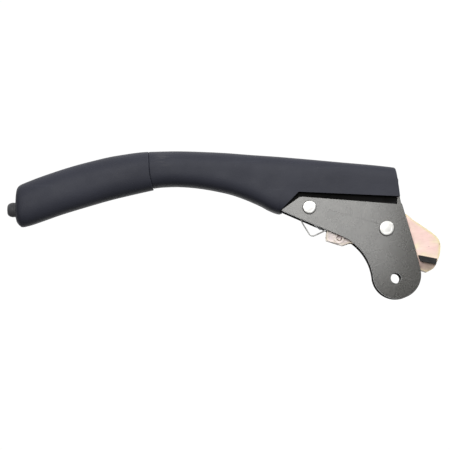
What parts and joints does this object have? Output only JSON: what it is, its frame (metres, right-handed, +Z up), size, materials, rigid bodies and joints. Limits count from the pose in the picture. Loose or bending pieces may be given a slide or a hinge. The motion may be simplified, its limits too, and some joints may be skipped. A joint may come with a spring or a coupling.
{
  "type": "parking brake lever",
  "caption": "Hand-pulled parking brake lever with a bent grip, release button, ratchet bracket and a two-plate cable fork.",
  "frame": {"origin": "mouth of the front mounting thread, on the plane that the bracket's feet stand on", "axes": "+X to the rear of the vehicle (the grip points to -X), +Z up, +Y to the right-hand side seen from behind the grip"},
  "size_m": [0.3456, 0.0338, 0.1183],
  "materials": {
    "grip": "matte charcoal with a fine grain",
    "cover": "matte charcoal with a fine grain",
    "guide": "satin black",
    "button": "satin black",
    "rod": "drawn bright steel",
    "spring": "oiled spring wire",
    "nylon": "natural nylon",
    "core": "satin black dip coat",
    "screw": "black zinc",
    "plate": "gloss black paint",
    "zinc": "bright zinc plate",
    "steel": "turned steel",
    "ratchet": "hardened, oiled",
    "bronze": "sintered bronze",
    "passivated": "yellow-passivated zinc with a pink sheen",
    "rubber": "moulded"
  },
  "bodies": {
    "base": {"base_bracket": "passivated", "ratchet_sector": "ratchet", "sector_rivets": "steel", "sector_spacers": "steel", "pivot_bush": "bronze", "weld_nuts": "passivated", "stop_buffers": "rubber"},
    "lever": {"grip_sleeve": "grip", "button_guide": "guide", "rod_guide": "nylon", "handle_tube": "core", "arm_cover": "cover", "cover_screw": "screw", "lever_channel": "core", "side_plate_left": "plate", "side_plate_right": "plate", "pivot_pin": "zinc", "pawl_pin": "zinc", "pawl_spacers": "steel", "thrust_washers": "nylon", "pawl_spring": "spring", "button_spring": "spring"},
    "button": {"push_button": "button", "release_rod": "rod", "spring_collar": "rod"},
    "pawl": {"pawl": "ratchet", "pawl_bush": "bronze"}
  },
  "joints": [
    {"name": "lever_pull", "type": "hinge", "parent": "base", "child": "lever", "pos_m": [0.041, 0, 0.01125], "axis": [0, 1, 0], "range_deg": [0, 45]},
    {"name": "button_press", "type": "slide", "parent": "lever", "child": "button", "axis": [1, 0, 0], "range_m": [-0.0026, 0.002], "stiffness_N_per_m": 600, "springref_m": -0.0026, "deforming": ["button_spring"]},
    {"name": "pawl_swing", "type": "hinge", "parent": "lever", "child": "pawl", "pos_m": [-0.0204, 0, 0.02805], "axis": [0, 1, 0], "range_deg": [-7.9, 6.1], "deforming": ["pawl_spring"]}
  ],
  "couplings": [
    {"joint": "pawl_swing", "follows": "button_press", "rad_per_m": 52.632}
  ]
}
